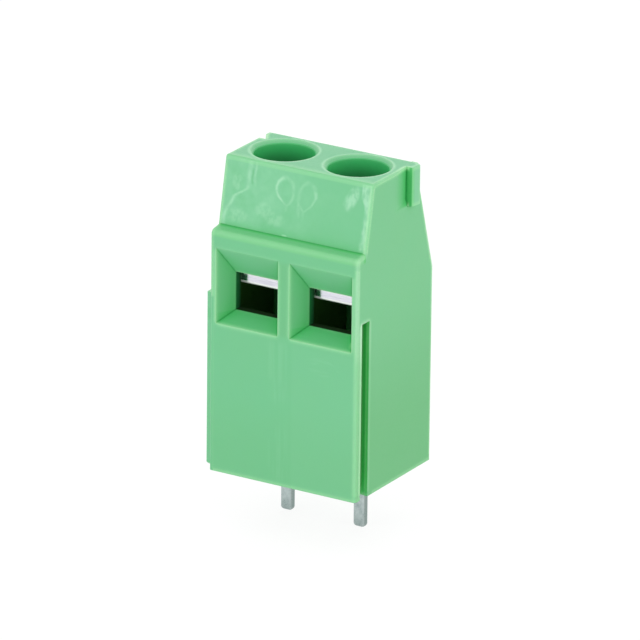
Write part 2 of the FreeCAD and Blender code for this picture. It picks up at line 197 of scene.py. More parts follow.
def feed(tree, socket, value):
    """Gives a socket a value, or the link that carries it."""
    if isinstance(value, bpy.types.NodeSocket):
        tree.links.new(value, socket)
    else:
        socket.default_value = value


def node(tree, kind, inputs=None, **settings):
    """Adds a node. Settings are its own properties, inputs its sockets: a value or a link."""
    made = tree.nodes.new(kind)
    for name, value in settings.items():
        setattr(made, name, value)
    for name, value in (inputs or {}).items():
        feed(tree, made.inputs[name], value)
    return made


def calc(tree, operation, *values, clamp=False):
    """One Math node, as its result."""
    made = node(tree, "ShaderNodeMath", operation=operation, use_clamp=clamp)
    for socket, value in zip(made.inputs, values):
        feed(tree, socket, value)
    return made.outputs[0]


def product(tree, *values):
    result = values[0]
    for value in values[1:]:
        result = calc(tree, "MULTIPLY", result, value)
    return result


def largest(tree, *values):
    result = values[0]
    for value in values[1:]:
        result = calc(tree, "MAXIMUM", result, value)
    return result


def without(tree, value, *masks):
    """The value where none of the masks is 1."""
    for mask in masks:
        value = calc(tree, "MULTIPLY", value, calc(tree, "SUBTRACT", 1.0, mask))
    return value


def distance_from(tree, value, place):
    return calc(tree, "ABSOLUTE", calc(tree, "SUBTRACT", value, place))


def ramp(tree, value, low, high, out_low=0.0, out_high=1.0, smooth=True):
    """Runs from out_low to out_high while the value runs from low to high."""
    kind = "SMOOTHSTEP" if smooth else "LINEAR"
    inputs = {
        "Value": value,
        "From Min": low,
        "From Max": high,
        "To Min": out_low,
        "To Max": out_high,
    }
    return node(tree, "ShaderNodeMapRange", inputs, interpolation_type=kind).outputs["Result"]


def line_at(tree, value, place, half_width):
    """1 where the value is at a place, 0 half_width away from it."""
    return ramp(tree, distance_from(tree, value, place), 0.0, half_width, 1.0, 0.0)


def between(tree, value, low, high, soft=0.03):
    """1 while the value lies between low and high."""
    above = ramp(tree, value, low - soft, low + soft)
    below = ramp(tree, value, high + soft, high - soft)
    return product(tree, above, below)


def spot(tree, x, z, middle, half_width, half_height, lean=0.0):
    """Soft oval spot round a place (x, z), leaning with the height."""
    over = calc(tree, "SUBTRACT", z, middle[1])
    across = calc(tree, "MULTIPLY_ADD", over, -lean, calc(tree, "SUBTRACT", x, middle[0]))
    u = calc(tree, "DIVIDE", across, half_width)
    v = calc(tree, "DIVIDE", over, half_height)
    return ramp(tree, calc(tree, "ADD", product(tree, u, u), product(tree, v, v)), 1.0, 0.15)


def noise(tree, place, scale, detail=3.0, roughness=0.5):
    inputs = {"Vector": place, "Scale": scale, "Detail": detail, "Roughness": roughness}
    return node(tree, "ShaderNodeTexNoise", inputs).outputs["Fac"]


def stretched(tree, place, factors):
    """The place scaled by a factor along each axis."""
    return node(tree, "ShaderNodeVectorMath", {0: place, 1: factors}, operation="MULTIPLY").outputs[0]


def blend_colour(tree, share, first, second):
    """The first colour where the share is 0, the second where it is 1."""
    made = node(tree, "ShaderNodeMix", data_type="RGBA", blend_type="MIX", clamp_factor=True)
    feed(tree, made.inputs[0], share)
    feed(tree, made.inputs[6], first)
    feed(tree, made.inputs[7], second)
    return made.outputs[2]


def tint(tree, colour, name, *masks, share=1.0):
    """The colour, blended to a green of the housing where the masks are 1."""
    return blend_colour(tree, product(tree, *masks, share), colour, GREEN[name])


def new_group(name, inputs, outputs):
    """Empty shader group with named sockets: (label, kind, value) in and (label, kind) out."""
    tree = bpy.data.node_groups.new(name, "ShaderNodeTree")
    for label, kind, value in inputs:
        socket = tree.interface.new_socket(label, in_out="INPUT", socket_type=kind)
        socket.default_value = value
    for label, kind in outputs:
        tree.interface.new_socket(label, in_out="OUTPUT", socket_type=kind)
    given = tree.nodes.new("NodeGroupInput").outputs
    results = tree.nodes.new("NodeGroupOutput").inputs
    return tree, given, results


def use_group(tree, group, inputs=None):
    return node(tree, "ShaderNodeGroup", inputs, node_tree=group).outputs


def place_group():
    """Place on the piece in millimetres, which stays with the piece when it moves."""
    outputs = [
        ("Place", "NodeSocketVector"),
        ("X", "NodeSocketFloat"),
        ("Y", "NodeSocketFloat"),
        ("Z", "NodeSocketFloat"),
    ]
    tree, _, results = new_group("place_in_millimetres", [], outputs)
    at = node(tree, "ShaderNodeTexCoord").outputs["Object"]
    inputs = {0: at, "Scale": 1 / MM}
    place = node(tree, "ShaderNodeVectorMath", inputs, operation="SCALE").outputs[0]
    parts = node(tree, "ShaderNodeSeparateXYZ", {0: place}).outputs
    tree.links.new(place, results["Place"])
    for axis in "XYZ":
        tree.links.new(parts[axis], results[axis])
    return tree


def shelter(tree, reach, samples, inside=False):
    """Share of the directions that the piece itself closes off within a reach."""
    rays = node(tree, "ShaderNodeAmbientOcclusion", {"Distance": reach}, samples=samples)
    rays.inside = inside
    rays.only_local = True
    return calc(tree, "SUBTRACT", 1.0, rays.outputs["AO"])


def relief_group():
    """Outer edges, inner corners and a normal that rounds both, for reaches in metres."""
    inputs = [
        ("Edge Reach", "NodeSocketFloat", 0.20 * MM),
        ("Corner Reach", "NodeSocketFloat", 0.5 * MM),
        ("Round", "NodeSocketFloat", 0.05 * MM),
    ]
    outputs = [
        ("Edge", "NodeSocketFloat"),
        ("Corner", "NodeSocketFloat"),
        ("Crease", "NodeSocketFloat"),
        ("Normal", "NodeSocketVector"),
    ]
    tree, given, results = new_group("relief", inputs, outputs)
    rounded = node(tree, "ShaderNodeBevel", {"Radius": given["Round"]}, samples=6)
    edge = shelter(tree, given["Edge Reach"], 8, inside=True)
    corner = shelter(tree, given["Corner Reach"], 8)
    crease = shelter(tree, calc(tree, "MULTIPLY", given["Corner Reach"], 0.3), 8)
    tree.links.new(ramp(tree, edge, 0.03, 0.32), results["Edge"])
    tree.links.new(ramp(tree, corner, 0.12, 0.60), results["Corner"])
    tree.links.new(ramp(tree, crease, 0.06, 0.30), results["Crease"])
    tree.links.new(rounded.outputs["Normal"], results["Normal"])
    return tree


def hollow_group():
    """0 on an open face, 1 deep in a bore, slot or well."""
    inputs = [("Reach", "NodeSocketFloat", 5.0 * MM)]
    tree, given, results = new_group("hollow", inputs, [("Depth", "NodeSocketFloat")])
    tree.links.new(shelter(tree, given["Reach"], 16), results["Depth"])
    return tree


def mottle_group():
    """Soft blotches of two sizes, about 0.5 on average."""
    inputs = [
        ("Place", "NodeSocketVector", (0.0, 0.0, 0.0)),
        ("Size", "NodeSocketFloat", 1.0),
        ("Contrast", "NodeSocketFloat", 1.0),
    ]
    tree, given, results = new_group("mottle", inputs, [("Value", "NodeSocketFloat")])
    scale = calc(tree, "DIVIDE", 1.0, given["Size"])
    coarse = noise(tree, given["Place"], scale, detail=2.0)
    fine = noise(tree, given["Place"], calc(tree, "MULTIPLY", scale, 4.3), detail=4.0)
    both = calc(tree, "ADD", product(tree, coarse, 0.65), product(tree, fine, 0.35))
    centred = calc(tree, "SUBTRACT", both, 0.5)
    value = calc(tree, "MULTIPLY_ADD", centred, given["Contrast"], 0.5, clamp=True)
    tree.links.new(value, results["Value"])
    return tree


def rolled_lines_group():
    """Fine lines along one direction, as on rolled strip; Stretch is small along the lines."""
    inputs = [
        ("Place", "NodeSocketVector", (0.0, 0.0, 0.0)),
        ("Stretch", "NodeSocketVector", (1.0, 1.0, 1.0)),
        ("Lines", "NodeSocketFloat", 20.0),
    ]
    tree, given, results = new_group("rolled_lines", inputs, [("Value", "NodeSocketFloat")])
    place = stretched(tree, given["Place"], given["Stretch"])
    value = noise(tree, place, given["Lines"], detail=5.0, roughness=0.65)
    tree.links.new(value, results["Value"])
    return tree


PLACE = place_group()
RELIEF = relief_group()
HOLLOW = hollow_group()
MOTTLE = mottle_group()
ROLLED_LINES = rolled_lines_group()


def relief_of(tree, edge_mm, corner_mm):
    inputs = {"Edge Reach": edge_mm * MM, "Corner Reach": corner_mm * MM}
    return use_group(tree, RELIEF, inputs)


def mottle(tree, at, size, contrast):
    inputs = {"Place": at["Place"], "Size": size, "Contrast": contrast}
    return use_group(tree, MOTTLE, inputs)["Value"]


def rolled_lines(tree, at, stretch, lines):
    inputs = {"Place": at["Place"], "Stretch": stretch, "Lines": lines}
    return use_group(tree, ROLLED_LINES, inputs)["Value"]


def bump(tree, shader, height, relief, strength, distance_mm):
    inputs = {
        "Height": height,
        "Strength": strength,
        "Distance": distance_mm * MM,
        "Normal": relief["Normal"],
    }
    made = node(tree, "ShaderNodeBump", inputs)
    tree.links.new(made.outputs["Normal"], shader.inputs["Normal"])


def new_material(name):
    """Material with a Principled shader, as (material, tree, shader)."""
    material = bpy.data.materials.new(name)
    material.use_nodes = True
    tree = material.node_tree
    shader = tree.nodes["Principled BSDF"]
    return material, tree, shader


def wavy(tree, at):
    """X with a slow waver, so that a line drawn with it isn't quite straight."""
    waver = calc(tree, "SUBTRACT", noise(tree, at["Place"], 1.1, detail=2.0), 0.5)
    return calc(tree, "MULTIPLY_ADD", waver, WAVER, at["X"])


def teardrop(tree, x, z, middle, half_width, rise, fall, lean):
    """Outline of a drop: round above its middle (x, z), narrowing to a leaning point below."""
    over = calc(tree, "SUBTRACT", z, middle[1])
    under = calc(tree, "MAXIMUM", calc(tree, "MULTIPLY", over, -1.0), 0.0)
    down = calc(tree, "DIVIDE", under, fall)
    centre = calc(tree, "MULTIPLY_ADD", down, lean, middle[0])
    across = calc(tree, "DIVIDE", calc(tree, "SUBTRACT", x, centre), half_width)
    up = calc(tree, "DIVIDE", calc(tree, "MAXIMUM", over, 0.0), rise)
    round_part = calc(tree, "SQRT", calc(tree, "ADD", product(tree, across, across), product(tree, up, up)))
    narrowing = calc(tree, "MINIMUM", product(tree, down, down, DROP_NARROWING), 1.0)
    radius = calc(tree, "ADD", round_part, narrowing)
    ring = line_at(tree, radius, 1.0, LOOP_LINE_HALF / half_width)
    ring = product(tree, ring, ramp(tree, down, 1.05, 0.90))
    point = calc(tree, "MULTIPLY_ADD", calc(tree, "MINIMUM", down, 1.0), lean, middle[0])
    tail = line_at(tree, x, point, LOOP_LINE_HALF)
    tail = product(tree, tail, ramp(tree, down, 0.85, 1.0), ramp(tree, down, 1.55, 0.95), 0.7)
    return largest(tree, ring, tail)


def drop_loops(tree, x, z):
    """Two drop-shaped lines between the bores and a thread between them, drawn pale as painted sheen."""
    left = product(tree, teardrop(tree, x, z, **LEFT_DROP), ramp(tree, x, -0.6, -1.2, 0.40, 0.85))
    right = product(tree, teardrop(tree, x, z, **RIGHT_DROP), ramp(tree, x, 0.9, 1.3, 0.28, 0.60))
    thread = line_at(tree, x, LOOP_THREAD_X, LOOP_LINE_HALF)
    thread = product(tree, thread, between(tree, z, 16.6, 17.9, soft=0.3), 0.40)
    return largest(tree, left, right, thread)


def flow_line(tree, x, z, shift, half_width):
    """Flow line that comes down from the left bore and sweeps out to the left edge."""
    middle = FLOW_LINE_X + shift
    for bend in FLOW_BENDS:
        drift = ramp(tree, z, bend["bottom"], bend["top"], bend["drift"], 0.0)
        middle = calc(tree, "ADD", drift, middle)
    return line_at(tree, x, middle, half_width)


def edge_sheen(tree, at, streaks):
    """Painted highlight in a strip beside the slope's right edge: wide at its top, a little wider at its
    foot.
    """
    z = at["Z"]
    waist = product(tree, ramp(tree, z, 18.60, 17.90), ramp(tree, z, 15.40, 16.40, 0.75, 1.0))
    inner = calc(tree, "MULTIPLY_ADD", waist, SHEEN_WAIST, SHEEN_INNER_X)
    frayed = calc(tree, "MULTIPLY_ADD", streaks, 0.30, calc(tree, "SUBTRACT", at["X"], inner))
    highlight = noise(tree, stretched(tree, at["Place"], (1.6, 1.0, 0.7)), 2.4, detail=3.0)
    highlight = ramp(tree, highlight, 0.28, 0.66, 0.25, 0.95)
    return product(tree, ramp(tree, frayed, 0.08, 0.28), highlight, ramp(tree, z, 15.3, 15.6))


def slope_marks(tree, at, bent):
    """Pale marks of the upper slope, drawn as painted sheen: drop loops, flow lines, a pale oval, patches
    and a highlight strip by the edge.
    """
    z = at["Z"]
    wide = flow_line(tree, bent, z, **FLOW_LINES["wide"])
    wide = product(tree, wide, ramp(tree, z, 17.3, 17.9, 0.75, 0.55))
    fine = flow_line(tree, bent, z, **FLOW_LINES["fine"])
    fine = product(tree, fine, ramp(tree, z, 17.7, 18.1), 0.45)
    broken = ramp(tree, noise(tree, at["Place"], 1.7, detail=3.0), 0.30, 0.60, 0.35, 1.0)
    lines = product(tree, largest(tree, drop_loops(tree, bent, z), wide, fine), broken)

    streaks = noise(tree, stretched(tree, at["Place"], (1.8, 1.0, 1.2)), 1.8, detail=4.0)
    pale_oval = spot(tree, at["X"], z, **PALE_OVAL)
    pale_oval = product(tree, pale_oval, ramp(tree, streaks, 0.30, 0.66, 0.12, 0.80))
    patches = largest(tree, *(spot(tree, bent, z, **patch) for patch in PATCHES))
    patches = product(tree, patches, ramp(tree, streaks, 0.35, 0.62, 0.05, 0.38))
    foot_mark = product(tree, spot(tree, at["X"], z, **FOOT_MARK), 0.90)
    return largest(tree, lines, pale_oval, patches, foot_mark, edge_sheen(tree, at, streaks))


def dark_thread(tree, at, bent):
    """Dark thread between the two flow lines, below the left bore."""
    line = line_at(tree, bent, DARK_THREAD_X, 0.10)
    return product(tree, line, between(tree, at["Z"], 17.95, 18.85, soft=0.12))


def front_streaks(tree, at):
    """Upright flow streaks between the poles on the lower front, and ripples to their right."""
    x = at["X"]
    band = product(tree, ramp(tree, x, -1.25, -0.75), ramp(tree, x, 0.55, 0.05))
    upright = noise(tree, stretched(tree, at["Place"], (2.2, 1.0, 0.10)), 2.0, detail=3.0)
    fading = ramp(tree, noise(tree, at["Place"], 0.5, detail=2.0), 0.35, 0.60)
    streaks = product(tree, band, ramp(tree, upright, 0.40, 0.66), fading)
    right_half = ramp(tree, x, 0.45, 0.75, 0.0, 0.45)
    level = noise(tree, stretched(tree, at["Place"], (0.5, 1.0, 3.0)), 1.6, detail=2.0)
    ripples = product(tree, spot(tree, x, at["Z"], **RIPPLES), ramp(tree, level, 0.45, 0.62))
    return largest(tree, streaks, right_half, ripples)


def on_slope_plane(tree, at):
    """1 on the sloping face above the wire openings."""
    rise = calc(tree, "SUBTRACT", at["Z"], SLOPE_FOOT)
    plane = calc(tree, "MULTIPLY_ADD", rise, SLOPE_LEAN, SLOPE_FOOT_Y)
    near = ramp(tree, distance_from(tree, at["Y"], plane), 0.10, 0.04)
    return product(tree, near, ramp(tree, at["Z"], SLOPE_FOOT, SLOPE_FOOT + 0.05))


def on_ledge(tree, at):
    """1 on the narrow ledge below the sloping face."""
    before = ramp(tree, at["Y"], SLOPE_FOOT_Y + 0.02, SLOPE_FOOT_Y - 0.02)
    return product(tree, before, ramp(tree, at["Z"], LEDGE_BOTTOM, LEDGE_BOTTOM + 0.2))


def from_pole(tree, at):
    """How far a place is from the middle of its pole, along the row."""
    return distance_from(tree, calc(tree, "ABSOLUTE", at["X"]), POLE_OFFSET)


def from_screw_axis(tree, at):
    across = from_pole(tree, at)
    along = calc(tree, "SUBTRACT", at["Y"], SCREW_Y)
    return calc(tree, "SQRT", calc(tree, "ADD", product(tree, across, across), product(tree, along, along)))


def in_throat(tree, at):
    """1 on the walls behind a funnel's narrow end."""
    across = ramp(tree, from_pole(tree, at), THROAT_HALF + 0.05, THROAT_HALF + 0.02)
    along = between(tree, at["Y"], THROAT_Y + 0.06, WELL_FRONT_Y + 0.05, soft=0.05)
    return product(tree, across, along, between(tree, at["Z"], THROAT_BOTTOM - 0.06, THROAT_TOP + 0.06))


def in_well(tree, at):
    """1 on the walls of a clamp's well, which little light reaches."""
    across = ramp(tree, from_pole(tree, at), WELL_HALF + 0.06, WELL_HALF + 0.03)
    along = between(tree, at["Y"], WELL_FRONT_Y, WELL_BACK_Y)
    return product(tree, across, along, between(tree, at["Z"], WELL_BOTTOM, WELL_TOP, soft=0.5))


def in_groove(tree, at):
    """1 inside the side groove, between its mouth and its floor."""
    deep = between(tree, at["X"], GROOVE_FLOOR_X - 0.06, SIDE_X - 0.07)
    along = between(tree, at["Y"], GROOVE_FRONT_Y, GROOVE_BACK_Y)
    return product(tree, deep, along, ramp(tree, at["Z"], GROOVE_TOP + 0.06, GROOVE_TOP))


def beside_groove(tree, at):
    """1 on the side face round the top and the back of the groove's mouth."""
    behind = between(tree, at["Y"], GROOVE_BACK_Y - 0.02, GROOVE_BACK_Y + 0.5)
    over = between(tree, at["Y"], GROOVE_FRONT_Y, GROOVE_BACK_Y)
    over = product(tree, over, ramp(tree, at["Z"], GROOVE_TOP, GROOVE_TOP + 0.03))
    near_top = ramp(tree, at["Z"], GROOVE_TOP + 0.6, GROOVE_TOP + 0.3)
    near_side = ramp(tree, at["X"], SIDE_X - 0.2, SIDE_X - 0.1)
    return product(tree, largest(tree, behind, over), near_top, near_side)


def facing_masks(tree):
    """1 on the faces that look to the front, to a side and up."""
    facing = node(tree, "ShaderNodeNewGeometry").outputs["True Normal"]
    parts = node(tree, "ShaderNodeSeparateXYZ", {0: facing}).outputs
    return {
        "front": ramp(tree, parts["Y"], -0.85, -0.95),
        "side": ramp(tree, calc(tree, "ABSOLUTE", parts["X"]), 0.7, 0.95),
        "up": ramp(tree, parts["Z"], 0.85, 0.95),
    }


def housing_zones(tree, at, faces):
    """Masks that are 1 on one stretch of the housing, or on its marks."""
    x = at["X"]
    z = at["Z"]
    slope = product(tree, faces["front"], on_slope_plane(tree, at))
    front = product(tree, faces["front"], ramp(tree, z, FUNNEL_BOTTOM, FUNNEL_BOTTOM - 0.6))
    top = ramp(tree, z, TOP - 0.30, TOP - 0.22)
    rib_height = ramp(tree, z, RIB_TOP + 0.1, RIB_TOP - 0.1)
    bent = wavy(tree, at)
    radius = from_screw_axis(tree, at)
    in_bore = ramp(tree, radius, BORE_RADIUS + 0.06, BORE_RADIUS + 0.03)
    past_side = ramp(tree, x, SIDE_X + 0.07, SIDE_X + 0.17)
    return {
        "slope": slope,
        "front": front,
        "top": top,
        "ledge": on_ledge(tree, at),
        "rib": product(tree, ramp(tree, x, 0.10 - SIDE_X, 0.02 - SIDE_X), rib_height),
        "left_edge": product(tree, ramp(tree, x, 0.30 - SIDE_X, 0.20 - SIDE_X), rib_height),
        "hook": product(tree, past_side, ramp(tree, z, HOOK_FOOT - 0.1, HOOK_FOOT)),
        "groove": in_groove(tree, at),
        "bore": product(tree, in_bore, ramp(tree, z, BORE_TONE_BOTTOM, BORE_TONE_BOTTOM + 0.2)),
        "rim": product(tree, line_at(tree, radius, RIM_RADIUS + 0.03, 0.17), top),
        "marks": product(tree, slope_marks(tree, at, bent), slope),
        "thread": product(tree, dark_thread(tree, at, bent), slope),
        "streaks": product(tree, front_streaks(tree, at), front),
    }


def open_faces(tree, at, faces, zones):
    """Green of the open faces: warmer on the sides, painted shade low down and on top, hazy with painted
    sheen on the slope, the moulding's marks drawn pale as painted sheen, and painted light on the ledge,
    hook and rib.
    """
    x = at["X"]
    z = at["Z"]
    blotches = mottle(tree, at, size=4.5, contrast=1.6)
    clouds = mottle(tree, at, size=1.6, contrast=3.0)
    warmth = calc(tree, "MULTIPLY_ADD", faces["side"], 0.5, product(tree, blotches, 0.5), clamp=True)
    colour = blend_colour(tree, warmth, GREEN["cool"], GREEN["warm"])
    # Painted shade: a darker green lower down on the sides and towards the bottom of the front; the post
    # between the openings is darker too.
    low_sides = product(tree, faces["side"], ramp(tree, z, 13.0, 3.0))
    low_front = product(tree, zones["front"], ramp(tree, z, 6.0, 1.0), 0.30)
    post = product(tree, faces["front"], between(tree, x, -POST_HALF, POST_HALF), 0.45)
    post = product(tree, post, between(tree, z, POST_BOTTOM, POST_TOP, soft=0.2))
    colour = tint(tree, colour, "low", largest(tree, low_sides, low_front, post))
    # Painted shade: a darker green on the faces that look up.
    colour = tint(tree, colour, "top", faces["up"], share=0.75)
    # Painted sheen: a pale, cloudy haze on the slope, fading towards its right end.
    cloudy = calc(tree, "MULTIPLY_ADD", clouds, 0.50, 0.08)
    cloudy = product(tree, cloudy, ramp(tree, x, -2.5, 3.0, 1.0, 0.20))
    colour = tint(tree, colour, "haze_and_sheen", zones["slope"], cloudy)
    # Painted light on the hook and the rib; a paler haze on the flow streaks of the lower front.
    colour = tint(tree, colour, "haze_and_sheen", largest(tree, zones["hook"], zones["rib"]), share=0.45)
    colour = tint(tree, colour, "haze_and_sheen", zones["streaks"], share=0.16)
    # Painted light: the ledge below the slope is a lighter green.
    colour = tint(tree, colour, "ledge", zones["ledge"], share=0.60)
    # Painted sheen: the slope's marks are drawn pale; their gloss and relief come from the roughness and
    # bump below.
    colour = tint(tree, colour, "pale_sheen", zones["marks"], share=0.80)
    return tint(tree, colour, "crease", zones["thread"], share=0.20)


def hook_ramp_shade(tree, at, faces):
    """Shade of the shallow ramp cut in front of the hook, deeper towards the hook."""
    slant = ramp(tree, at["Y"], RAMP_FRONT_Y - 0.2, HOOK_FRONT_Y, smooth=False)
    slant = product(tree, slant, calc(tree, "MULTIPLY_ADD", slant, 0.5, 0.5))
    before_hook = ramp(tree, at["Y"], HOOK_FRONT_Y + 0.3, HOOK_FRONT_Y)
    at_side = ramp(tree, at["X"], RAMP_SHADE_X - 0.1, RAMP_SHADE_X + 0.1)
    over_foot = ramp(tree, at["Z"], HOOK_FOOT - 0.1, HOOK_FOOT + 0.1)
    return without(tree, product(tree, slant, before_hook, at_side, over_foot, 0.75), faces["up"])


def sill_shade(tree, at):
    """Slight shade on the lower wall of a funnel."""
    under_throat = ramp(tree, at["Z"], THROAT_BOTTOM + 0.02, THROAT_BOTTOM - 0.05, 0.0, 0.14)
    over_front = ramp(tree, at["Z"], FUNNEL_BOTTOM - 0.05, FUNNEL_BOTTOM)
    return product(tree, under_throat, over_front, between(tree, at["Y"], FRONT_Y + 0.04, THROAT_Y))


def shaded_corners(tree, at, colour, faces, zones, relief, depth):
    """Deeper green in corners and hollows, at the foot of the slope and before the hook."""
    ledge = zones["ledge"]
    rib = zones["rib"]
    corner = without(tree, relief["Corner"], ledge, rib, product(tree, zones["slope"], 0.8))
    corner = product(tree, corner, 0.70)
    foot = product(tree, ledge, ramp(tree, at["Y"], SLOPE_FOOT_Y - 0.34, SLOPE_FOOT_Y - 0.04), 0.62)
    hollow = ramp(tree, depth, 0.10, 0.80, smooth=False)
    hollow = without(tree, hollow, ledge, rib, product(tree, zones["top"], 0.8))
    shade = largest(tree, corner, foot, hook_ramp_shade(tree, at, faces), hollow)
    shade = calc(tree, "ADD", shade, sill_shade(tree, at), clamp=True)
    crease = without(tree, relief["Crease"], rib, product(tree, zones["slope"], 0.6))
    colour = tint(tree, colour, "deep", shade)
    return tint(tree, colour, "crease", crease, share=0.75)


def pale_edges(tree, at, colour, faces, zones, relief):
    """Painted highlights: paler green on the rims and edges, and palest at the right front corner and the
    hook.
    """
    y = at["Y"]
    z = at["Z"]
    front_rim = product(tree, zones["top"], ramp(tree, y, TOP_FRONT_Y + 0.75, TOP_FRONT_Y + 0.10))
    # Painted highlights: a pale ring round each bore's rim and a pale band along the top's front edge.
    colour = tint(tree, colour, "pale_sheen", zones["rim"], share=0.38)
    colour = tint(tree, colour, "pale_rim", front_rim, share=0.45)

    ledge_front = ramp(tree, y, SLOPE_FOOT_Y - 0.20, SLOPE_FOOT_Y - 0.40)
    ledge_front = product(tree, ledge_front, between(tree, z, LEDGE_BOTTOM - 0.2, SLOPE_FOOT + 0.1))
    slope_top = product(tree, zones["slope"], ramp(tree, z, TOP - 0.6, TOP - 0.4))
    duller = [
        zones["left_edge"],
        zones["groove"],
        product(tree, zones["hook"], 0.50),
        product(tree, zones["hook"], faces["front"], 0.80),
        product(tree, front_rim, 0.70),
        product(tree, beside_groove(tree, at), 0.75),
        product(tree, ledge_front, 0.35),
        product(tree, slope_top, 0.50),
    ]
    edges = without(tree, product(tree, relief["Edge"], 0.90), *duller)
    edges = product(tree, edges, ramp(tree, z, 0.2, 0.5, 0.45, 1.0))
    colour = tint(tree, colour, "pale_edge", edges)

    # Painted highlights: a glint along the right front corner and a line on the hook.
    glint = product(tree, edges, ramp(tree, at["X"], SIDE_X - 0.18, SIDE_X - 0.10), 0.75)
    glint = product(tree, glint, between(tree, z, 9.0, 15.2, soft=0.6))
    hook_line = line_at(tree, y, HOOK_FRONT_Y + 0.07, 0.13)
    hook_line = product(tree, hook_line, ramp(tree, at["X"], HOOK_LINE_X, HOOK_LINE_X + 0.04), 0.60)
    return tint(tree, colour, "highlight", largest(tree, glint, hook_line))


def inner_walls(tree, at, colour, faces, zones, depth):
    """Painted shade: dark green in the bores, groove, wells and throats, with a mask of the darkest of
    them; painted light makes the groove's walls that don't face sideways a brighter green.
    """
    sunk = ramp(tree, at["Z"], TOP - 0.25, TOP - 1.9, 0.10, 0.93)
    colour = tint(tree, colour, "bore_wall", zones["bore"], share=0.60)
    colour = tint(tree, colour, "bore_depth", zones["bore"], sunk)
    groove_colour = blend_colour(tree, faces["side"], GREEN["groove_wall"], GREEN["groove_floor"])
    colour = blend_colour(tree, zones["groove"], colour, groove_colour)

    pit = without(tree, ramp(tree, depth, 0.65, 0.98), zones["groove"], zones["bore"])
    pit = largest(tree, pit, in_well(tree, at))
    colour = tint(tree, colour, "well", pit)
    throat = in_throat(tree, at)
    inwards = ramp(tree, at["Y"], THROAT_Y, WELL_FRONT_Y, smooth=False)
    throat_colour = blend_colour(tree, inwards, GREEN["throat_mouth"], GREEN["throat_end"])
    throat_colour = blend_colour(tree, faces["up"], throat_colour, GREEN["throat_floor"])
    colour = blend_colour(tree, throat, colour, throat_colour)
    return colour, largest(tree, pit, throat)


def green_polyamide():
    """Semi-gloss green polyamide, paler on its edges and marked by the flow of the moulding."""
    material, tree, shader = new_material("green_polyamide")
    at = use_group(tree, PLACE)
    relief = relief_of(tree, edge_mm=0.32, corner_mm=0.45)
    depth = use_group(tree, HOLLOW, {"Reach": 5.0 * MM})["Depth"]
    faces = facing_masks(tree)
    zones = housing_zones(tree, at, faces)
    colour = open_faces(tree, at, faces, zones)
    colour = shaded_corners(tree, at, colour, faces, zones, relief, depth)
    colour = pale_edges(tree, at, colour, faces, zones, relief)
    colour, pit = inner_walls(tree, at, colour, faces, zones, depth)
    feed(tree, shader.inputs["Base Color"], colour)

    grain = noise(tree, at["Place"], 9.0, detail=3.0)
    rough = ramp(tree, grain, 0.3, 0.7, out_low=0.34, out_high=0.46, smooth=False)
    rough = calc(tree, "SUBTRACT", rough, product(tree, zones["marks"], 0.10))
    rough = calc(tree, "MULTIPLY_ADD", pit, 0.5, rough, clamp=True)
    feed(tree, shader.inputs["Roughness"], rough)

    sinks = noise(tree, at["Place"], 0.35, detail=1.0)
    height = calc(tree, "ADD", product(tree, sinks, 4.0), product(tree, grain, 0.05))
    height = calc(tree, "ADD", height, product(tree, zones["marks"], 0.04))
    bump(tree, shader, height, relief, strength=0.5, distance_mm=0.02)
    values = {
        "IOR": 1.53,
        "Specular IOR Level": 0.22,
        "Subsurface Weight": 0.12,
        "Subsurface Radius": (0.35, 1.0, 0.45),
        "Subsurface Scale": 0.35 * MM,
    }
    for name, value in values.items():
        shader.inputs[name].default_value = value
    return material


def bright_nickel():
    """Bright nickel on the folded clamp cage, with the fine lines of rolled strip."""
    material, tree, shader = new_material("bright_nickel")
    grey = (0.58, 0.58, 0.66, 1.0)
    pale_grey = (0.84, 0.84, 0.90, 1.0)
    edge_white = (0.98, 0.98, 0.98, 1.0)
    at = use_group(tree, PLACE)
    relief = relief_of(tree, edge_mm=0.16, corner_mm=0.5)
    lines = rolled_lines(tree, at, stretch=(0.06, 1.0, 1.0), lines=14.0)
    blotches = mottle(tree, at, size=0.9, contrast=1.2)
    tone = calc(tree, "MULTIPLY_ADD", ramp(tree, lines, 0.3, 0.7), 0.6, product(tree, blotches, 0.4))
    # Painted highlight: the edges and the lower edge are near white and less metallic.
    lower_edge = between(tree, at["Z"], CAGE_BOTTOM - 0.1, CAGE_BOTTOM + 0.18)
    bright = largest(tree, relief["Edge"], lower_edge)
    colour = blend_colour(tree, tone, grey, pale_grey)
    colour = blend_colour(tree, bright, colour, edge_white)
    feed(tree, shader.inputs["Base Color"], colour)
    rough = ramp(tree, lines, 0.3, 0.7, out_low=0.08, out_high=0.18, smooth=False)
    feed(tree, shader.inputs["Roughness"], rough)
    feed(tree, shader.inputs["Metallic"], calc(tree, "MULTIPLY_ADD", bright, -0.5, 1.0))
    bump(tree, shader, lines, relief, strength=0.25, distance_mm=0.004)
    return material


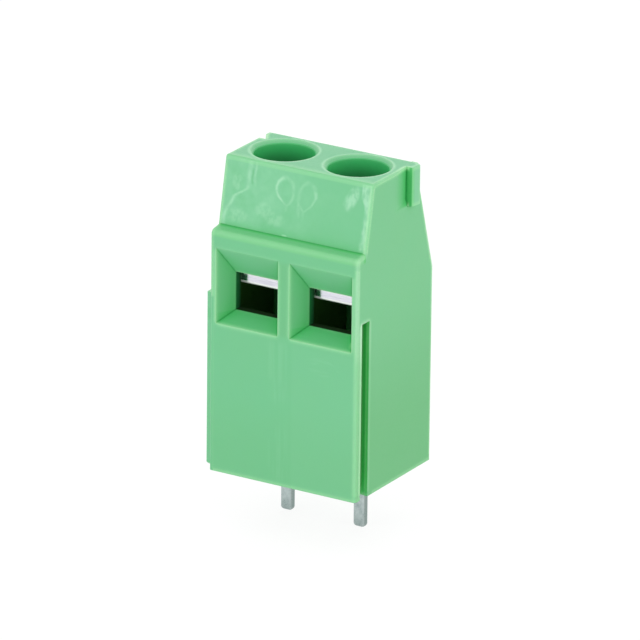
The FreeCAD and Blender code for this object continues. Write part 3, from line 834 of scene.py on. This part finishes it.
def tin_plate():
    """Dull tin on the folded contact strip; the sheared sides, which face along X, are darker, partly as
    duller sheared metal and partly as painted shade, and the pins' tips are darker.
    """
    material, tree, shader = new_material("tin_plate")
    plate_dark = (0.29, 0.37, 0.365, 1.0)
    plate_pale = (0.55, 0.62, 0.615, 1.0)
    side_dark = (0.13, 0.19, 0.17, 1.0)
    side_pale = (0.26, 0.33, 0.31, 1.0)
    edge_pale = (0.78, 0.82, 0.82, 1.0)
    at = use_group(tree, PLACE)
    relief = relief_of(tree, edge_mm=0.16, corner_mm=0.5)
    blotches = mottle(tree, at, size=0.42, contrast=2.2)
    lines = rolled_lines(tree, at, stretch=(1.0, 1.0, 0.12), lines=9.0)
    facing = node(tree, "ShaderNodeNewGeometry").outputs["Normal"]
    sideways = calc(tree, "ABSOLUTE", node(tree, "ShaderNodeSeparateXYZ", {0: facing}).outputs["X"])
    sheared_and_shaded = ramp(tree, sideways, 0.60, 0.88, 0.0, 0.75)
    tip = ramp(tree, at["Z"], -2.4, -3.5, 0.0, 0.40)
    plate = blend_colour(tree, blotches, plate_dark, plate_pale)
    side = blend_colour(tree, lines, side_dark, side_pale)
    colour = blend_colour(tree, largest(tree, sheared_and_shaded, tip), plate, side)
    # Painted highlight on the edges.
    colour = blend_colour(tree, product(tree, relief["Edge"], 0.35), colour, edge_pale)
    feed(tree, shader.inputs["Base Color"], colour)
    rough = ramp(tree, blotches, 0.2, 0.8, out_low=0.24, out_high=0.44, smooth=False)
    feed(tree, shader.inputs["Roughness"], rough)
    height = calc(tree, "ADD", blotches, product(tree, lines, 0.4))
    bump(tree, shader, height, relief, strength=0.6, distance_mm=0.012)
    shader.inputs["Metallic"].default_value = 1.0
    return material


def zinc_plate():
    """Zinc on the turned screws, with the rings of the turning on the heads."""
    material, tree, shader = new_material("zinc_plate")
    zinc_dark = (0.52, 0.55, 0.58, 1.0)
    zinc_pale = (0.72, 0.74, 0.75, 1.0)
    corner_dark = (0.24, 0.25, 0.26, 1.0)
    edge_pale = (0.86, 0.87, 0.88, 1.0)
    at = use_group(tree, PLACE)
    relief = relief_of(tree, edge_mm=0.16, corner_mm=0.4)
    inputs = {"W": from_screw_axis(tree, at), "Scale": 16.0, "Detail": 3.0}
    rings = node(tree, "ShaderNodeTexNoise", inputs, noise_dimensions="1D").outputs["Fac"]
    blotches = mottle(tree, at, size=0.6, contrast=1.8)
    colour = blend_colour(tree, blotches, zinc_dark, zinc_pale)
    # Painted shade in the corners and painted highlights on the edges.
    colour = blend_colour(tree, product(tree, relief["Corner"], 0.5), colour, corner_dark)
    colour = blend_colour(tree, product(tree, relief["Edge"], 0.5), colour, edge_pale)
    feed(tree, shader.inputs["Base Color"], colour)
    rough = ramp(tree, blotches, 0.2, 0.8, out_low=0.22, out_high=0.38, smooth=False)
    feed(tree, shader.inputs["Roughness"], rough)
    bump(tree, shader, rings, relief, strength=0.5, distance_mm=0.010)
    shader.inputs["Metallic"].default_value = 1.0
    return material


def dress(names, material):
    """Gives CAD nodes a finish."""
    for name in names:
        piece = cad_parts[name]
        piece.data.materials.clear()
        piece.data.materials.append(material)


def ridge_section(full):
    """Section of the thread's ridge, as (radius, rise) in millimetres, at a share of its height."""
    crest = THREAD_ROOT + (THREAD_CREST - THREAD_ROOT) * full
    return [
        (THREAD_ROOT - THREAD_SINK, -THREAD_ROOT_WIDTH / 2),
        (crest, -THREAD_CREST_FLAT / 2),
        (crest, THREAD_CREST_FLAT / 2),
        (THREAD_ROOT - THREAD_SINK, THREAD_ROOT_WIDTH / 2),
    ]


def screw_thread(name, screw, material):
    """Helical ridge round the shank of a screw, with a run-out at each end."""
    low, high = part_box(screw)
    axis = (low + high) / 2
    start = low.z + THREAD_TIP_GAP * MM
    end = high.z - (HEAD_HEIGHT + THREAD_HEAD_GAP) * MM
    turns = (end - start) / (THREAD_PITCH * MM)
    steps = round(turns * STEPS_A_TURN)
    shape = bmesh.new()
    rings = []
    for step in range(steps + 1):
        turn = step / STEPS_A_TURN
        angle = 2 * math.pi * turn
        middle = start + turn * THREAD_PITCH * MM
        full = min(1.0, step / RUN_OUT_STEPS, (steps - step) / RUN_OUT_STEPS)
        ring = []
        for radius, rise in ridge_section(full):
            x = axis.x + radius * MM * math.cos(angle)
            y = axis.y + radius * MM * math.sin(angle)
            ring.append(shape.verts.new((x, y, middle + rise * MM)))
        rings.append(ring)
    corners = len(rings[0])
    for one, two in zip(rings, rings[1:]):
        for i in range(corners):
            j = (i + 1) % corners
            shape.faces.new((one[i], one[j], two[j], two[i]))
    shape.faces.new(reversed(rings[0]))
    shape.faces.new(rings[-1])
    bmesh.ops.recalc_face_normals(shape, faces=shape.faces)
    mesh = bpy.data.meshes.new(name)
    shape.to_mesh(mesh)
    shape.free()
    mesh.materials.append(material)
    piece = bpy.data.objects.new(name, mesh)
    bpy.context.scene.collection.objects.link(piece)
    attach(piece, screw)


def sees_white(tree):
    """1 for rays that look at the studio: from the camera, or off or through a surface."""
    path = node(tree, "ShaderNodeLightPath").outputs
    return largest(tree, path["Is Camera Ray"], path["Is Glossy Ray"], path["Is Transmission Ray"])


def white_studio():
    """Even white surroundings, as a light tent, that show white and light softly."""
    world = bpy.data.worlds.new("white_studio")
    world.use_nodes = True
    tree = world.node_tree
    tree.nodes.clear()
    light = node(tree, "ShaderNodeBackground", {"Color": WHITE, "Strength": SKY_LEVEL})
    shown = node(tree, "ShaderNodeBackground", {"Color": WHITE, "Strength": 1.0})
    inputs = {0: sees_white(tree), 1: light.outputs[0], 2: shown.outputs[0]}
    mix = node(tree, "ShaderNodeMixShader", inputs)
    node(tree, "ShaderNodeOutputWorld", {"Surface": mix.outputs[0]})
    bpy.context.scene.world = world


def pale_floor():
    """White floor under the pin tips, which keeps a soft shadow of the part."""
    mesh = bpy.data.meshes.new("floor")
    level = cad_low.z
    half = FLOOR_HALF_WIDTH
    corners = [(-half, -half, level), (half, -half, level), (half, half, level), (-half, half, level)]
    mesh.from_pydata(corners, [], [(0, 1, 2, 3)])
    floor = bpy.data.objects.new("floor", mesh)
    bpy.context.scene.collection.objects.link(floor)
    material = bpy.data.materials.new("pale_floor")
    material.use_nodes = True
    tree = material.node_tree
    tree.nodes.clear()
    matt = node(tree, "ShaderNodeBsdfDiffuse", {"Color": FLOOR_COLOUR})
    glow = node(tree, "ShaderNodeEmission", {"Color": WHITE, "Strength": FLOOR_GLOW})
    share = calc(tree, "MULTIPLY", sees_white(tree), FLOOR_GLOW_SHARE)
    mix = node(tree, "ShaderNodeMixShader", {0: share, 1: matt.outputs[0], 2: glow.outputs[0]})
    node(tree, "ShaderNodeOutputMaterial", {"Surface": mix.outputs[0]})
    mesh.materials.append(material)


def direction(azimuth, elevation):
    """Unit vector from the part towards a place round it; azimuth 0 is the front, 90 the right."""
    a = math.radians(azimuth)
    e = math.radians(elevation)
    return Vector((math.sin(a) * math.cos(e), -math.cos(a) * math.cos(e), math.sin(e)))


def soft_lamp(name, azimuth, elevation, level):
    """Square lamp that looks at the part and lights a surface that faces it to the given level."""
    data = bpy.data.lights.new(name, "AREA")
    data.shape = "SQUARE"
    data.size = LAMP_SIZE
    data.energy = level * (math.pi * LAMP_DISTANCE) ** 2
    lamp = bpy.data.objects.new(name, data)
    aim = (cad_low + cad_high) / 2
    towards = direction(azimuth, elevation)
    lamp.location = aim + towards * LAMP_DISTANCE
    lamp.rotation_mode = "QUATERNION"
    lamp.rotation_quaternion = (-towards).to_track_quat("-Z", "Y")
    bpy.context.scene.collection.objects.link(lamp)


def photo_camera():
    """Camera at the photograph's angle."""
    back = direction(CAMERA_YAW, CAMERA_RISE)
    right = Vector((0, 0, 1)).cross(back).normalized()
    up = back.cross(right)
    roll = math.radians(CAMERA_ROLL)
    rolled_right = right * math.cos(roll) + up * math.sin(roll)
    rolled_up = up * math.cos(roll) - right * math.sin(roll)
    place = CAMERA_AIM + rolled_right * CAMERA_RIGHT + rolled_up * CAMERA_UP + back * CAMERA_DISTANCE
    axes = Matrix((rolled_right, rolled_up, back)).transposed()
    data = bpy.data.cameras.new("camera")
    data.sensor_width = SENSOR_WIDTH
    data.lens = CAMERA_LENS
    data.clip_start = 0.01
    data.clip_end = 10.0
    camera = bpy.data.objects.new("camera", data)
    camera.matrix_world = Matrix.Translation(place * MM) @ axes.to_4x4()
    bpy.context.scene.collection.objects.link(camera)
    bpy.context.scene.camera = camera


polyamide = green_polyamide()
nickel = bright_nickel()
tin = tin_plate()
zinc = zinc_plate()
dress(["housing"], polyamide)
dress(["terminal_bar_1", "terminal_bar_2"], tin)
dress(["clamp_cage_1", "clamp_cage_2"], nickel)
dress(["screw_1", "screw_2"], zinc)
for pole in (1, 2):
    screw_thread(f"screw_thread_{pole}", f"screw_{pole}", zinc)

white_studio()
pale_floor()
for name, values in LAMPS.items():
    soft_lamp(name, **values)
photo_camera()
bpy.context.scene.view_settings.view_transform = "Standard"
